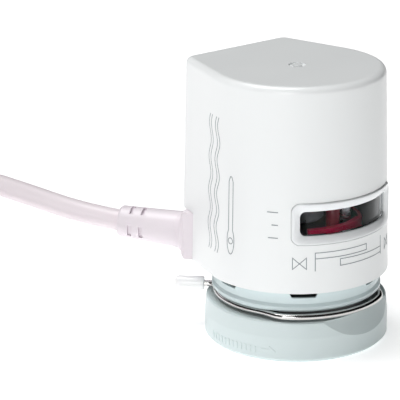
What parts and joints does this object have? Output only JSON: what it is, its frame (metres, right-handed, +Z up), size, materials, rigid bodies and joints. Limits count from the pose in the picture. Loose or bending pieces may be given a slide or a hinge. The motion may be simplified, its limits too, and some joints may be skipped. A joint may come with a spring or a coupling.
{
  "type": "thermal actuator head",
  "caption": "White upright actuator head with a round front, flat back, curved indicator window, grey coupling nut, wire clip and corner cable with a coiled lead.",
  "frame": {"origin": "centre of the coupling nut's threaded bore, on the nut's bottom face", "axes": "+Z up along the actuator's axis, the indicator window faces -Y and the flat back faces +Y"},
  "size_m": [0.1424, 0.0931, 0.0617],
  "materials": {
    "housing_plastic": "satin",
    "clear_lens": "clear",
    "nut_plastic": "satin",
    "base_plastic": "satin",
    "spring_steel": "polished",
    "grip_plastic": "gloss",
    "red_plastic": "satin",
    "black_plastic": "matt",
    "steel": "brushed",
    "contact_metal": "tinned",
    "ceramic": "matt",
    "cable_sheath": "satin",
    "grommet_plastic": "satin",
    "core_brown": "satin",
    "core_blue": "satin",
    "tie_plastic": "matt",
    "ferrule_metal": "tinned"
  },
  "bodies": {
    "base": {"housing_shell": "housing_plastic", "window_lens": "clear_lens", "base_collar": "base_plastic", "bridge": "steel", "wax_piston": "steel", "guide_rod_front": "steel", "guide_rod_rear": "steel", "spring_cap": "black_plastic", "contact_strip_left": "contact_metal", "contact_strip_right": "contact_metal", "contact_spring_left": "contact_metal", "contact_spring_right": "contact_metal", "contact_holder": "black_plastic", "closing_spring": "spring_steel", "terminal_block": "black_plastic", "cable_grommet": "grommet_plastic", "cable_tube": "cable_sheath", "cable_coil": "cable_sheath", "coil_tie": "tie_plastic", "tail_core_brown": "core_brown", "tail_core_blue": "core_blue", "ferrule_brown": "ferrule_metal", "ferrule_blue": "ferrule_metal", "inner_core_brown": "core_brown", "inner_core_blue": "core_blue"},
    "coupling_nut": {"coupling_nut": "nut_plastic"},
    "clip": {"retaining_wire": "spring_steel", "grip_cap": "grip_plastic"},
    "carriage": {"plunger": "black_plastic", "pressure_pad": "steel", "indicator_carriage": "red_plastic", "wax_element": "steel", "heater_disc": "ceramic", "spring_seat": "black_plastic"}
  },
  "joints": [
    {"name": "carriage_lift", "type": "slide", "parent": "base", "child": "carriage", "axis": [0, 0, 1], "range_m": [0, 0.004], "stiffness_N_per_m": 9000, "springref_m": -0.008, "deforming": ["closing_spring", "contact_spring_left", "contact_spring_right"]},
    {"name": "nut_turn", "type": "hinge", "parent": "base", "child": "coupling_nut", "pos_m": [0, 0, 0], "axis": [0, 0, 1], "continuous": true},
    {"name": "clip_swing", "type": "hinge", "parent": "base", "child": "clip", "pos_m": [0, 0, 0.01035], "axis": [0, 0, 1], "range_deg": [0, 12], "stiffness_Nm_per_rad": 0.3, "springref_deg": -2.86}
  ]
}
